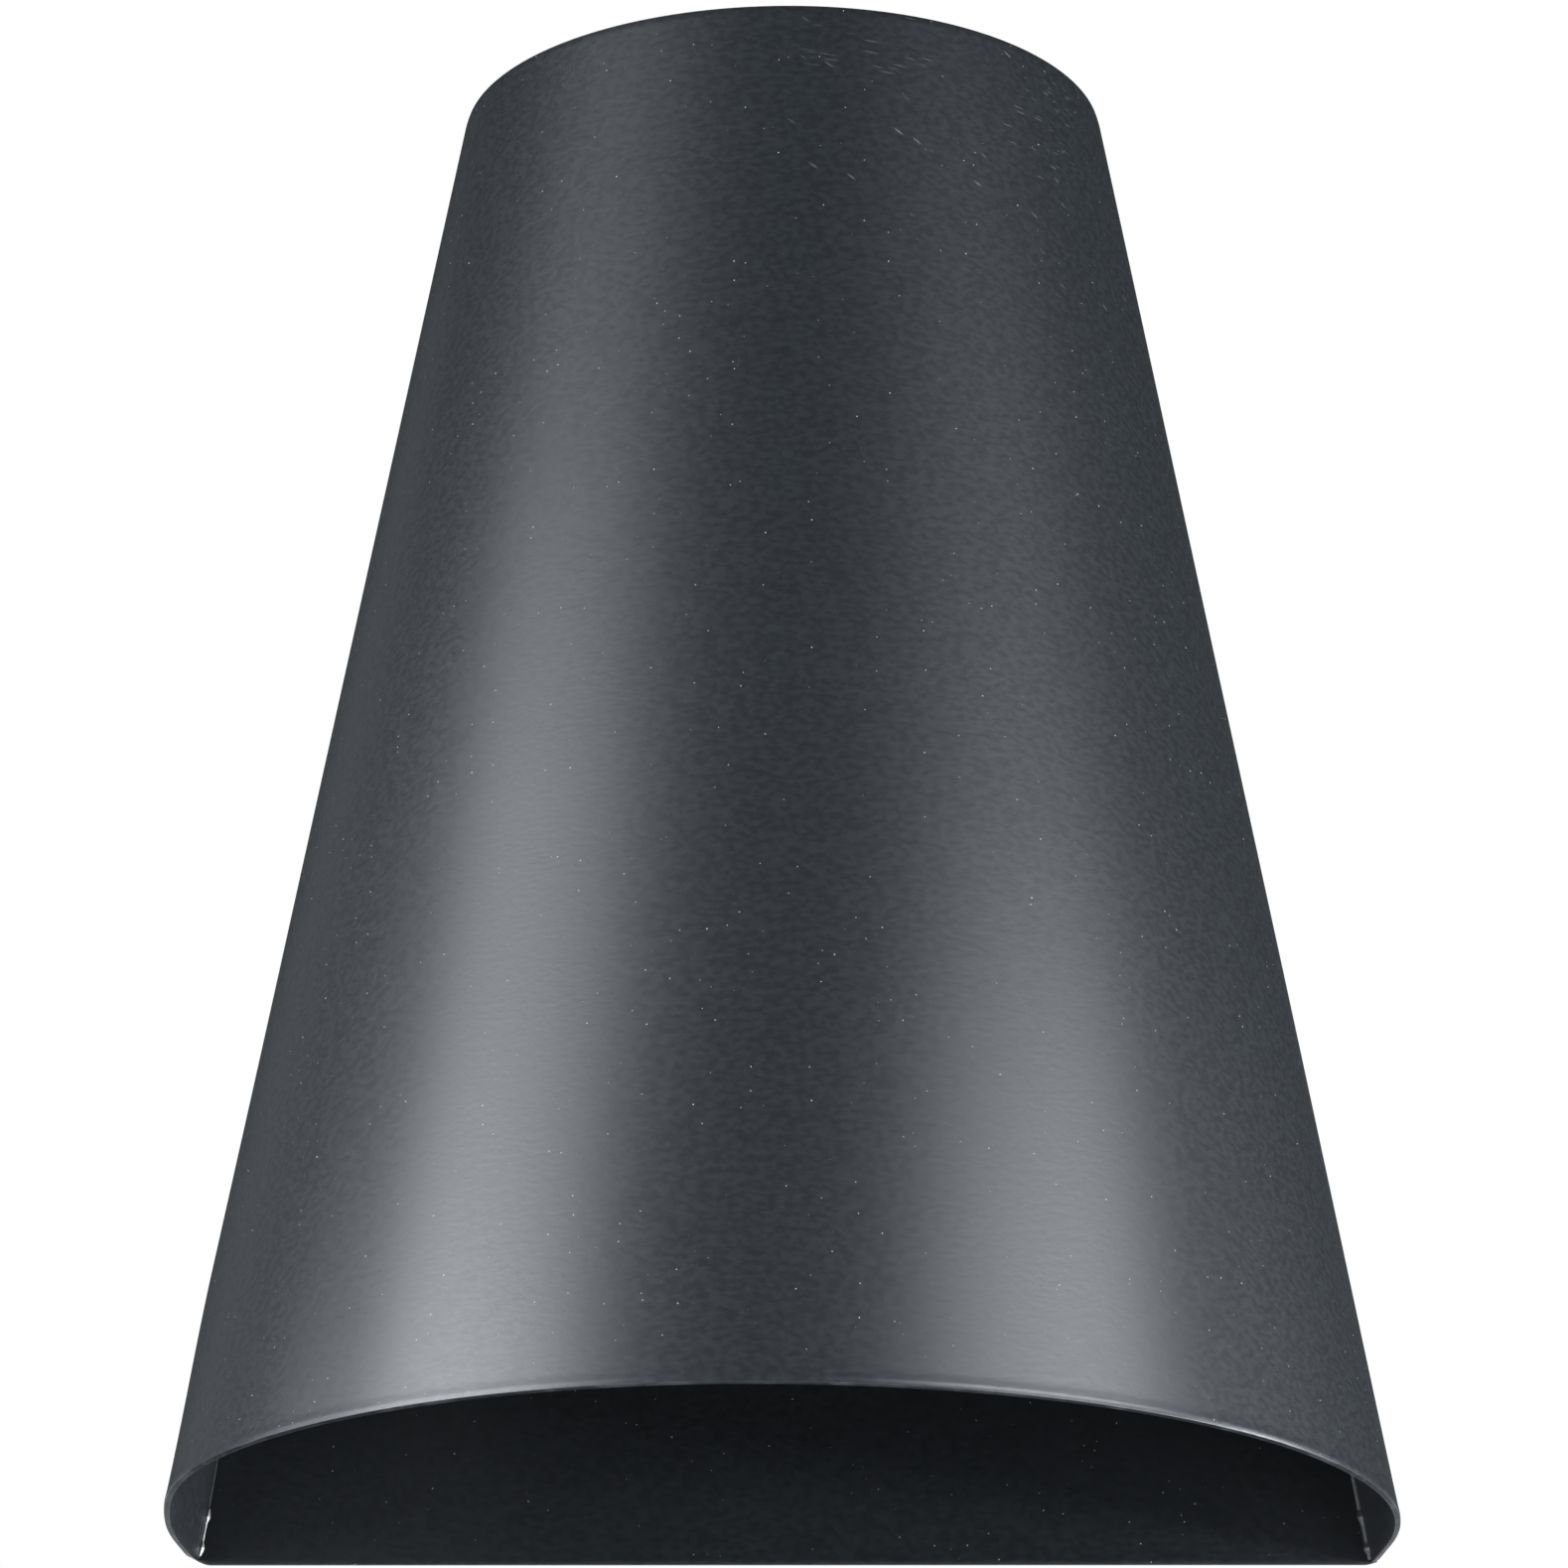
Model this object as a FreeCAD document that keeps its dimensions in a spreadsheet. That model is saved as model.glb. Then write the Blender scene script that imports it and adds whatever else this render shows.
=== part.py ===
import FreeCAD, Part

import math
import os

import Sketcher

# Half-round light hood (snoot) of folded sheet steel.
#
# Frame: millimetres, +X to the hood's right as seen from the front, +Z up and the
# rounded front towards -Y. Y = 0 is the back face of the flat back panel. The origin
# lies on that face, midway between the centres of the two keyhole entry holes.

SIZES = {
    # The two ends of the half cone
    "mouth_radius": 150.0,
    "top_radius": 82.5,
    "hood_height": 374.0,
    # Distance of each end's arc centre from the back face, as a share of its radius
    "centre_ratio": 0.255,
    # Degrees that the arc runs on past its widest point before it turns into a flat
    "arc_overrun": 6.0,
    "gauge": 1.5,
    # Height of the keyhole entries above the mouth
    "hang_height": 270.0,
    # Keyholes
    "key_spacing": 100.0,
    "key_entry": 5.5,
    "key_slot": 2.8,
    "key_rise": 13.0,
    # Doubler behind the keyholes and its flush rivets
    "hanger_width": 150.0,
    "hanger_tall": 44.0,
    "hanger_gauge": 2.0,
    "hanger_corner": 6.0,
    "rivet_inset": 9.0,
    "rivet_shank": 2.0,
    "rivet_sink": 1.2,
    "rivet_dome": 3.8,
    "rivet_dome_tall": 1.4,
    # Stitch welds along the two inner corners
    "weld_leg": 1.5,
    "weld_crown": 0.25,
    "weld_run": 13.5,
    "weld_margin": 1.5,
    "weld_count": 7.0,
    # Captive lock screw, all along Y
    "lock_height": 90.0,
    "spigot_radius": 4.5,
    "bush_radius": 7.0,
    "bush_barrel": 10.0,
    "bush_bore": 3.05,
    "washer_bore": 2.28,
    "washer_radius": 9.0,
    "washer_gauge": 1.6,
    "stud_radius": 3.0,
    "stud_neck": 2.2,
    "stud_play": 0.2,
    "nose_radius": 2.5,
    "nose_length": 8.0,
    "nose_chamfer": 0.5,
    "stud_grip": 11.0,
    "knob_gap": 0.1,
    "knob_radius": 14.0,
    "knob_length": 16.0,
    "knob_hub": 8.0,
    "knob_hub_length": 3.0,
    "knob_bevel": 3.0,
    "lobe_count": 6.0,
    "lobe_cut": 5.5,
    "lobe_centre": 16.5,
}

doc = FreeCAD.newDocument("hood")


def make_sheet():
    """The driving dimensions, one aliased cell each."""
    sheet = doc.addObject("Spreadsheet::Sheet", "sizes")
    for row, (alias, value) in enumerate(SIZES.items(), start=1):
        sheet.set(f"A{row}", alias)
        sheet.set(f"B{row}", str(value))
        sheet.setAlias(f"B{row}", alias)
    doc.recompute()
    return sheet


sheet = make_sheet()


def size(alias):
    """The present value of one cell."""
    return float(sheet.get(alias))


def new_body(label, height_expression="0"):
    """A body on the frame's Z axis, at the height that the expression gives."""
    body = doc.addObject("PartDesign::Body", label)
    body.Label = label
    body.setExpression("Placement.Base.z", height_expression)
    return body


def new_sketch(body, name, role, offset_expression=None):
    """A sketch on one of the body's own origin planes."""
    plane = next(item for item in body.Origin.OriginFeatures if item.Role == role)
    sketch = body.newObject("Sketcher::SketchObject", name)
    sketch.AttachmentSupport = [(plane, "")]
    sketch.MapMode = "FlatFace"
    if offset_expression:
        sketch.setExpression("AttachmentOffset.Base.z", offset_expression)
    doc.recompute()
    return sketch


def bind(sketch, name, kind, *arguments):
    """Add one dimension and drive it from the sheet: the last argument is its expression."""
    *references, start_value, expression = arguments
    index = sketch.addConstraint(Sketcher.Constraint(kind, *references, start_value))
    sketch.renameConstraint(index, name)
    sketch.setExpression(f"Constraints.{name}", expression)


def vector(x, y):
    return FreeCAD.Vector(x, y, 0)


def add_line(sketch, start, end):
    return sketch.addGeometry(Part.LineSegment(vector(*start), vector(*end)))


def add_arc(sketch, centre, radius, start_angle, end_angle):
    circle = Part.Circle(vector(*centre), FreeCAD.Vector(0, 0, 1), radius)
    return sketch.addGeometry(Part.ArcOfCircle(circle, start_angle, end_angle))


def add_circle(sketch, centre, radius):
    return sketch.addGeometry(Part.Circle(vector(*centre), FreeCAD.Vector(0, 0, 1), radius))


def join(sketch, first, first_end, second, second_end):
    sketch.addConstraint(Sketcher.Constraint("Coincident", first, first_end, second, second_end))


def join_smoothly(sketch, first, first_end, second, second_end):
    sketch.addConstraint(Sketcher.Constraint("Tangent", first, first_end, second, second_end))


# Names for the sketcher's own numbers
H_AXIS = -1
V_AXIS = -2
START, END, CENTRE = 1, 2, 3

# Two places closer than this are the same place
TOLERANCE = 1e-6


# ---- section of the shell ----------------------------------------------------------------

def wall_point(radius, centre_back, inset, y):
    """Where the straight side of a section, moved inwards by inset, reaches depth y."""
    overrun = math.radians(size("arc_overrun"))
    tangent_x = (radius - inset) * math.cos(overrun)
    tangent_y = (radius - inset) * math.sin(overrun) - centre_back
    return tangent_x - (y - tangent_y) * math.tan(overrun)


def draw_half_section(sketch, radius_name):
    """Half of the shell's section: arc and flat, outside and inside, from the front to the panel."""
    gauge = size("gauge")
    radius = size(radius_name)
    centre_back = size("centre_ratio") * radius
    overrun = math.radians(size("arc_overrun"))
    centre = (0, -centre_back)
    curves = []
    flats = []
    for inset in (0, gauge):
        curve = add_arc(sketch, centre, radius - inset, -math.pi / 2, overrun)
        tangent = ((radius - inset) * math.cos(overrun),
                   (radius - inset) * math.sin(overrun) - centre_back)
        rear = (wall_point(radius, centre_back, inset, -gauge), -gauge)
        flat = add_line(sketch, tangent, rear)
        join_smoothly(sketch, curve, END, flat, START)
        sketch.addConstraint(Sketcher.Constraint("PointOnObject", curve, START, V_AXIS))
        curves.append(curve)
        flats.append(flat)
    front_cut = add_line(sketch, (0, -centre_back - radius), (0, -centre_back - radius + gauge))
    rear_cut = add_line(sketch, (wall_point(radius, centre_back, 0, -gauge), -gauge),
                        (wall_point(radius, centre_back, gauge, -gauge), -gauge))
    join(sketch, front_cut, START, curves[0], START)
    join(sketch, front_cut, END, curves[1], START)
    join(sketch, rear_cut, START, flats[0], END)
    join(sketch, rear_cut, END, flats[1], END)
    join(sketch, curves[1], CENTRE, curves[0], CENTRE)
    sketch.addConstraint(Sketcher.Constraint("PointOnObject", curves[0], CENTRE, V_AXIS))
    sketch.addConstraint(Sketcher.Constraint("Parallel", flats[0], flats[1]))
    sketch.addConstraint(Sketcher.Constraint("Horizontal", rear_cut))
    bind(sketch, "side_angle", "Angle", flats[0], math.pi / 2 + overrun, "90 + sizes.arc_overrun")
    bind(sketch, "outer_radius", "Radius", curves[0], radius, f"sizes.{radius_name}")
    bind(sketch, "inner_radius", "Radius", curves[1], radius - gauge,
         f"sizes.{radius_name} - sizes.gauge")
    bind(sketch, "centre_back", "DistanceY", curves[0], CENTRE, H_AXIS, START, centre_back,
         f"sizes.centre_ratio * sizes.{radius_name}")
    bind(sketch, "rear_depth", "DistanceY", flats[0], END, H_AXIS, START, gauge, "sizes.gauge")


def make_front_shell():
    """The rolled half cone: one sheet, open at both ends and along the back."""
    body = new_body("front_shell")
    mouth = new_sketch(body, "shell_mouth_section", "XY_Plane", "-sizes.hang_height")
    draw_half_section(mouth, "mouth_radius")
    top = new_sketch(body, "shell_top_section", "XY_Plane",
                     "sizes.hood_height - sizes.hang_height")
    draw_half_section(top, "top_radius")
    loft = body.newObject("PartDesign::AdditiveLoft", "shell_half")
    loft.Profile = mouth
    loft.Sections = [top]
    loft.Ruled = True
    doc.recompute()
    mirrored = body.newObject("PartDesign::Mirrored", "shell_other_half")
    mirrored.Originals = [loft]
    plane = next(item for item in body.Origin.OriginFeatures if item.Role == "YZ_Plane")
    mirrored.MirrorPlane = (plane, [""])
    body.Tip = mirrored
    return body


# ---- keyholes, shared by the panel and the doubler ----------------------------------------

def draw_keyhole(sketch):
    """A round entry with a slot that rises from it, on the +X side."""
    across = size("key_spacing") / 2
    entry = size("key_entry")
    slot = size("key_slot")
    rise = size("key_rise")
    meet_height = math.sqrt(entry ** 2 - slot ** 2)
    meet_angle = math.asin(slot / entry)
    quarter = math.pi / 2
    entry_arc = add_arc(sketch, (across, 0), entry, quarter + meet_angle, 5 * quarter - meet_angle)
    slot_arc = add_arc(sketch, (across, rise), slot, 0, math.pi)
    left = add_line(sketch, (across - slot, rise), (across - slot, meet_height))
    right = add_line(sketch, (across + slot, meet_height), (across + slot, rise))
    join_smoothly(sketch, slot_arc, END, left, START)
    join_smoothly(sketch, right, END, slot_arc, START)
    join(sketch, left, END, entry_arc, START)
    join(sketch, entry_arc, END, right, START)
    for side in (left, right):
        sketch.addConstraint(Sketcher.Constraint("Vertical", side))
    sketch.addConstraint(Sketcher.Constraint("PointOnObject", entry_arc, CENTRE, H_AXIS))
    bind(sketch, "entry_radius", "Radius", entry_arc, entry, "sizes.key_entry")
    bind(sketch, "slot_radius", "Radius", slot_arc, slot, "sizes.key_slot")
    bind(sketch, "across", "DistanceX", H_AXIS, START, entry_arc, CENTRE, across,
         "sizes.key_spacing / 2")
    bind(sketch, "rise", "DistanceY", entry_arc, CENTRE, slot_arc, CENTRE, rise, "sizes.key_rise")
    bind(sketch, "slot_across", "DistanceX", H_AXIS, START, slot_arc, CENTRE, across,
         "sizes.key_spacing / 2")


def rivet_places():
    """The four rivet centres on the back plane, as (x, z)."""
    x = size("hanger_width") / 2 - size("rivet_inset")
    z = size("hanger_tall") / 2 - size("rivet_inset")
    return [(side * x, level * z) for side in (-1, 1) for level in (-1, 1)]


def draw_rivet_holes(sketch):
    for number, (x, z) in enumerate(rivet_places(), start=1):
        hole = add_circle(sketch, (x, z), size("rivet_shank"))
        bind(sketch, f"hole_{number}", "Radius", hole, size("rivet_shank"), "sizes.rivet_shank")
        across = "sizes.hanger_width / 2 - sizes.rivet_inset"
        upright = "sizes.hanger_tall / 2 - sizes.rivet_inset"
        x_ends = (H_AXIS, START, hole, CENTRE) if x > 0 else (hole, CENTRE, H_AXIS, START)
        z_ends = (H_AXIS, START, hole, CENTRE) if z > 0 else (hole, CENTRE, H_AXIS, START)
        bind(sketch, f"across_{number}", "DistanceX", *x_ends, abs(x), across)
        bind(sketch, f"upright_{number}", "DistanceY", *z_ends, abs(z), upright)


def cut_through(body, sketch, name):
    """Pocket right through the plate, to both sides of the sketch."""
    pocket = body.newObject("PartDesign::Pocket", name)
    pocket.Profile = sketch
    pocket.Type = "ThroughAll"
    pocket.Midplane = True
    before = body.Shape.Volume
    doc.recompute()
    if not body.Shape.Volume < before:
        raise RuntimeError(f"{name} removed nothing")
    return pocket


def cut_keyholes(body, offset_expression=None):
    """Both keyholes and the rivet holes, in one plate."""
    sketch = new_sketch(body, f"{body.Label}_keyhole", "XZ_Plane", offset_expression)
    draw_keyhole(sketch)
    pocket = cut_through(body, sketch, f"{body.Label}_keyhole_cut")
    mirrored = body.newObject("PartDesign::Mirrored", f"{body.Label}_other_keyhole")
    mirrored.Originals = [pocket]
    plane = next(item for item in body.Origin.OriginFeatures if item.Role == "YZ_Plane")
    mirrored.MirrorPlane = (plane, [""])
    body.Tip = mirrored
    doc.recompute()
    holes = new_sketch(body, f"{body.Label}_rivet_holes", "XZ_Plane", offset_expression)
    draw_rivet_holes(holes)
    cut_through(body, holes, f"{body.Label}_rivet_cut")


# ---- back panel ---------------------------------------------------------------------------

def draw_panel_outline(sketch):
    """A trapezium as wide at each end as the shell's outside."""
    gauge = size("gauge")
    low = -size("hang_height")
    high = size("hood_height") - size("hang_height")
    half = {}
    for end in ("mouth", "top"):
        radius = size(f"{end}_radius")
        half[end] = wall_point(radius, size("centre_ratio") * radius, 0, -gauge)
    corners = [(-half["mouth"], low), (half["mouth"], low), (half["top"], high), (-half["top"], high)]
    sides = []
    for place, corner in enumerate(corners):
        sides.append(add_line(sketch, corner, corners[(place + 1) % 4]))
    for place, side in enumerate(sides):
        join(sketch, side, END, sides[(place + 1) % 4], START)
    bottom, _, top, _ = sides
    for level in (bottom, top):
        sketch.addConstraint(Sketcher.Constraint("Symmetric", level, START, level, END, V_AXIS))
    bind(sketch, "mouth_down", "DistanceY", bottom, END, H_AXIS, START, -low, "sizes.hang_height")
    bind(sketch, "top_up", "DistanceY", H_AXIS, START, top, START, high,
         "sizes.hood_height - sizes.hang_height")
    for end, line, ends in (("mouth", bottom, (START, END)), ("top", top, (END, START))):
        side_width = (f"2 * (sizes.{end}_radius / cos(sizes.arc_overrun * 1 deg) - "
                      f"(sizes.centre_ratio * sizes.{end}_radius - sizes.gauge) * "
                      f"tan(sizes.arc_overrun * 1 deg))")
        bind(sketch, f"{end}_width", "DistanceX", line, ends[0], line, ends[1],
             2 * half[end], side_width)


def edges_on_plane(shape, y, radius):
    """Names of the circular edges of one radius that lie at depth y."""
    names = []
    for number, edge in enumerate(shape.Edges, start=1):
        if isinstance(edge.Curve, Part.Circle) and math.isclose(edge.Curve.Radius, radius):
            if math.isclose(edge.Curve.Center.y, y, abs_tol=TOLERANCE):
                names.append(f"Edge{number}")
    return names


def make_back_panel():
    """The flat back: keyholes, countersunk rivet holes and the lock bush's hole."""
    body = new_body("back_panel")
    outline = new_sketch(body, "panel_outline", "XZ_Plane")
    draw_panel_outline(outline)
    pad = body.newObject("PartDesign::Pad", "panel_sheet")
    pad.Profile = outline
    pad.setExpression("Length", "sizes.gauge")
    doc.recompute()
    cut_keyholes(body)
    lock = new_sketch(body, "panel_lock_hole", "XZ_Plane")
    height = size("lock_height") - size("hang_height")
    hole = add_circle(lock, (0, height), size("spigot_radius"))
    lock.addConstraint(Sketcher.Constraint("PointOnObject", hole, CENTRE, V_AXIS))
    bind(lock, "hole_radius", "Radius", hole, size("spigot_radius"), "sizes.spigot_radius")
    bind(lock, "hole_down", "DistanceY", hole, CENTRE, H_AXIS, START, -height,
         "sizes.hang_height - sizes.lock_height")
    pocket = cut_through(body, lock, "panel_lock_cut")
    sink = body.newObject("PartDesign::Chamfer", "panel_countersinks")
    sink.Base = (pocket, edges_on_plane(pocket.Shape, 0, size("rivet_shank")))
    sink.setExpression("Size", "sizes.rivet_sink")
    body.Tip = sink
    return body


# ---- keyhole doubler and rivets --------------------------------------------------------------

def make_hanger_plate():
    """The thicker plate inside the panel that carries the load at the keyholes."""
    body = new_body("hanger_plate")
    outline = new_sketch(body, "hanger_outline", "XZ_Plane", "sizes.gauge")
    half_x = size("hanger_width") / 2
    half_z = size("hanger_tall") / 2
    corners = [(-half_x, -half_z), (half_x, -half_z), (half_x, half_z), (-half_x, half_z)]
    sides = []
    for place, corner in enumerate(corners):
        sides.append(add_line(outline, corner, corners[(place + 1) % 4]))
    for place, side in enumerate(sides):
        join(outline, side, END, sides[(place + 1) % 4], START)
    bottom, right, top, _ = sides
    for level in (bottom, top):
        outline.addConstraint(Sketcher.Constraint("Symmetric", level, START, level, END, V_AXIS))
    outline.addConstraint(Sketcher.Constraint("Symmetric", right, START, right, END, H_AXIS))
    bind(outline, "wide", "DistanceX", bottom, START, bottom, END, 2 * half_x, "sizes.hanger_width")
    bind(outline, "tall", "DistanceY", right, START, right, END, 2 * half_z, "sizes.hanger_tall")
    pad = body.newObject("PartDesign::Pad", "hanger_sheet")
    pad.Profile = outline
    pad.setExpression("Length", "sizes.hanger_gauge")
    doc.recompute()
    through = []
    for number, edge in enumerate(pad.Shape.Edges, start=1):
        direction = edge.tangentAt(edge.FirstParameter)
        if math.isclose(abs(direction.y), 1, abs_tol=TOLERANCE):
            through.append(f"Edge{number}")
    corner = body.newObject("PartDesign::Fillet", "hanger_corners")
    corner.Base = (pad, through)
    corner.setExpression("Radius", "sizes.hanger_corner")
    body.Tip = corner
    doc.recompute()
    cut_keyholes(body, "sizes.gauge")
    return body


def make_hanger_rivets():
    """Four solid rivets: flush countersunk heads behind, low domed heads inside."""
    shank = size("rivet_shank")
    sink = size("rivet_sink")
    stack = size("gauge") + size("hanger_gauge")
    dome = size("rivet_dome")
    dome_tall = size("rivet_dome_tall")
    cap_radius = (dome ** 2 + dome_tall ** 2) / (2 * dome_tall)
    crest = FreeCAD.Vector(0, -stack - dome_tall, 0)
    half_angle = math.asin(dome / cap_radius) / 2
    cap_centre = -stack - dome_tall + cap_radius
    shoulder = FreeCAD.Vector(cap_radius * math.sin(half_angle),
                              cap_centre - cap_radius * math.cos(half_angle), 0)
    rim = FreeCAD.Vector(dome, -stack, 0)
    outline = [
        Part.LineSegment(FreeCAD.Vector(0, 0, 0), crest),
        Part.Arc(crest, shoulder, rim),
        Part.LineSegment(rim, FreeCAD.Vector(shank, -stack, 0)),
        Part.LineSegment(FreeCAD.Vector(shank, -stack, 0), FreeCAD.Vector(shank, -sink, 0)),
        Part.LineSegment(FreeCAD.Vector(shank, -sink, 0), FreeCAD.Vector(shank + sink, 0, 0)),
        Part.LineSegment(FreeCAD.Vector(shank + sink, 0, 0), FreeCAD.Vector(0, 0, 0)),
    ]
    face = Part.Face(Part.Wire([curve.toShape() for curve in outline]))
    rivet = face.revolve(FreeCAD.Vector(0, 0, 0), FreeCAD.Vector(0, 1, 0), 360)
    copies = [rivet.translated(FreeCAD.Vector(x, 0, z)) for x, z in rivet_places()]
    group = doc.addObject("Part::Feature", "hanger_rivets")
    group.Label = "hanger_rivets"
    group.Shape = Part.makeCompound(copies)
    group.Placement = FreeCAD.Placement()
    return group


# ---- stitch welds ----------------------------------------------------------------------------

def weld_section(side, above_mouth):
    """Bead section at one height: it fills the corner between the wall and the panel."""
    share = above_mouth / size("hood_height")
    radius = size("mouth_radius") + share * (size("top_radius") - size("mouth_radius"))
    centre_back = size("centre_ratio") * radius
    gauge = size("gauge")
    leg = size("weld_leg")
    height = above_mouth - size("hang_height")
    corner_x = wall_point(radius, centre_back, gauge, -gauge)
    wall_x = wall_point(radius, centre_back, gauge, -gauge - leg)
    corner = FreeCAD.Vector(side * corner_x, -gauge, height)
    on_panel = FreeCAD.Vector(side * (corner_x - leg), -gauge, height)
    on_wall = FreeCAD.Vector(side * wall_x, -gauge - leg, height)
    outward = FreeCAD.Vector(-side, -1, 0).normalize()
    crown = (on_panel + on_wall) * 0.5 + outward * size("weld_crown")
    return Part.Wire([
        Part.LineSegment(corner, on_panel).toShape(),
        Part.Arc(on_panel, crown, on_wall).toShape(),
        Part.LineSegment(on_wall, corner).toShape(),
    ])


def make_seam_welds(label, side):
    """Short fillet beads, evenly spaced up one inner corner."""
    count = int(size("weld_count"))
    run = size("weld_run")
    margin = size("weld_margin")
    pitch = (size("hood_height") - 2 * margin - run) / (count - 1)
    beads = []
    for number in range(count):
        start = margin + number * pitch
        sections = [weld_section(side, start), weld_section(side, start + run)]
        beads.append(Part.makeLoft(sections, True, True))
    group = doc.addObject("Part::Feature", label)
    group.Label = label
    group.Shape = Part.makeCompound(beads)
    group.Placement = FreeCAD.Placement()
    return group


# ---- captive lock screw, on an axis along Y ---------------------------------------------------

LOCK_LEVEL = "sizes.lock_height - sizes.hang_height"
BUSH_FRONT = "(sizes.gauge + sizes.bush_barrel)"
WASHER_FRONT = f"({BUSH_FRONT} + sizes.washer_gauge)"
KNOB_BASE = f"({WASHER_FRONT} + sizes.knob_gap)"


def bush_front():
    return size("gauge") + size("bush_barrel")


def washer_front():
    return bush_front() + size("washer_gauge")


def knob_base():
    return washer_front() + size("knob_gap")


def turned_body(label, steps):
    """A turned piece: steps are (radius, its expression, depth, its expression), all from Y = 0."""
    body = new_body(label, LOCK_LEVEL)
    sketch = new_sketch(body, f"{label}_profile", "XY_Plane")
    lines = []
    for place, (radius, _, depth, _) in enumerate(steps):
        next_radius, _, next_depth, _ = steps[(place + 1) % len(steps)]
        lines.append(add_line(sketch, (radius, -depth), (next_radius, -next_depth)))
    for place, line in enumerate(lines):
        join(sketch, line, END, lines[(place + 1) % len(lines)], START)
    for place, (radius, radius_expression, depth, depth_expression) in enumerate(steps):
        line = lines[place]
        if radius == 0:
            sketch.addConstraint(Sketcher.Constraint("PointOnObject", line, START, V_AXIS))
        else:
            bind(sketch, f"radius_{place}", "DistanceX", H_AXIS, START, line, START,
                 radius, radius_expression)
        if depth == 0:
            sketch.addConstraint(Sketcher.Constraint("PointOnObject", line, START, H_AXIS))
        elif depth > 0:
            bind(sketch, f"depth_{place}", "DistanceY", line, START, H_AXIS, START,
                 depth, depth_expression)
        else:
            bind(sketch, f"depth_{place}", "DistanceY", H_AXIS, START, line, START,
                 -depth, f"-({depth_expression})")
    turned = body.newObject("PartDesign::Revolution", f"{label}_turned")
    turned.Profile = sketch
    turned.ReferenceAxis = (sketch, ["V_Axis"])
    turned.Angle = 360
    doc.recompute()
    return body


def step(radius_alias, depth, depth_expression):
    """One corner of a turned profile whose radius is a cell."""
    return size(radius_alias), f"sizes.{radius_alias}", depth, depth_expression


def make_lock_bush():
    """Threaded ferrule: its spigot is pressed into the panel, its barrel stands inside."""
    gauge = size("gauge")
    return turned_body("lock_bush", [
        step("bush_bore", 0, "0"),
        step("spigot_radius", 0, "0"),
        step("spigot_radius", gauge, "sizes.gauge"),
        step("bush_radius", gauge, "sizes.gauge"),
        step("bush_radius", bush_front(), BUSH_FRONT),
        step("bush_bore", bush_front(), BUSH_FRONT),
    ])


def make_lock_washer():
    """Plain washer, kept on the stud's neck."""
    return turned_body("lock_washer", [
        step("washer_bore", bush_front(), BUSH_FRONT),
        step("washer_radius", bush_front(), BUSH_FRONT),
        step("washer_radius", washer_front(), WASHER_FRONT),
        step("washer_bore", washer_front(), WASHER_FRONT),
    ])


def make_lock_stud():
    """Screw with a plain nose, a neck for the washer and a shank moulded into the knob."""
    nose = size("nose_length")
    chamfer = size("nose_chamfer")
    thread_start = bush_front() - size("stud_play")
    thread_start_expression = f"({BUSH_FRONT} - sizes.stud_play)"
    shank_end = knob_base() + size("stud_grip")
    shank_end_expression = f"({KNOB_BASE} + sizes.stud_grip)"
    tip = (size("nose_radius") - chamfer, "sizes.nose_radius - sizes.nose_chamfer",
           -nose, "-sizes.nose_length")
    return turned_body("lock_stud", [
        (0, "0", -nose, "-sizes.nose_length"),
        tip,
        step("nose_radius", chamfer - nose, "sizes.nose_chamfer - sizes.nose_length"),
        step("nose_radius", 0, "0"),
        step("stud_radius", 0, "0"),
        step("stud_radius", thread_start, thread_start_expression),
        step("stud_neck", thread_start, thread_start_expression),
        step("stud_neck", knob_base(), KNOB_BASE),
        step("stud_radius", knob_base(), KNOB_BASE),
        step("stud_radius", shank_end, shank_end_expression),
        (0, "0", shank_end, shank_end_expression),
    ])


def make_lock_knob():
    """Moulded knob: hub, bevelled head with finger scallops and a blind hole for the stud."""
    base = knob_base()
    hub_end = base + size("knob_hub_length")
    hub_end_expression = f"({KNOB_BASE} + sizes.knob_hub_length)"
    grip_end = base + size("stud_grip")
    grip_end_expression = f"({KNOB_BASE} + sizes.stud_grip)"
    front = base + size("knob_length")
    front_expression = f"({KNOB_BASE} + sizes.knob_length)"
    shoulder = front - size("knob_bevel")
    shoulder_expression = f"({front_expression} - sizes.knob_bevel)"
    face_edge = (size("knob_radius") - size("knob_bevel"), "sizes.knob_radius - sizes.knob_bevel",
                 front, front_expression)
    body = turned_body("lock_knob", [
        step("stud_radius", base, KNOB_BASE),
        step("knob_hub", base, KNOB_BASE),
        step("knob_hub", hub_end, hub_end_expression),
        step("knob_radius", hub_end, hub_end_expression),
        step("knob_radius", shoulder, shoulder_expression),
        face_edge,
        (0, "0", front, front_expression),
        (0, "0", grip_end, grip_end_expression),
        step("stud_radius", grip_end, grip_end_expression),
    ])
    scallop = new_sketch(body, "knob_scallop", "XZ_Plane", hub_end_expression)
    hole = add_circle(scallop, (0, size("lobe_centre")), size("lobe_cut"))
    scallop.addConstraint(Sketcher.Constraint("PointOnObject", hole, CENTRE, V_AXIS))
    bind(scallop, "cut_radius", "Radius", hole, size("lobe_cut"), "sizes.lobe_cut")
    bind(scallop, "cut_centre", "DistanceY", H_AXIS, START, hole, CENTRE,
         size("lobe_centre"), "sizes.lobe_centre")
    pocket = cut_through(body, scallop, "knob_scallop_cut")
    pattern = body.newObject("PartDesign::PolarPattern", "knob_scallops")
    pattern.Originals = [pocket]
    pattern.Axis = (scallop, ["N_Axis"])
    pattern.Angle = 360
    pattern.setExpression("Occurrences", "sizes.lobe_count")
    body.Tip = pattern
    return body


# ---- build, check and write -------------------------------------------------------------------

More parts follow.
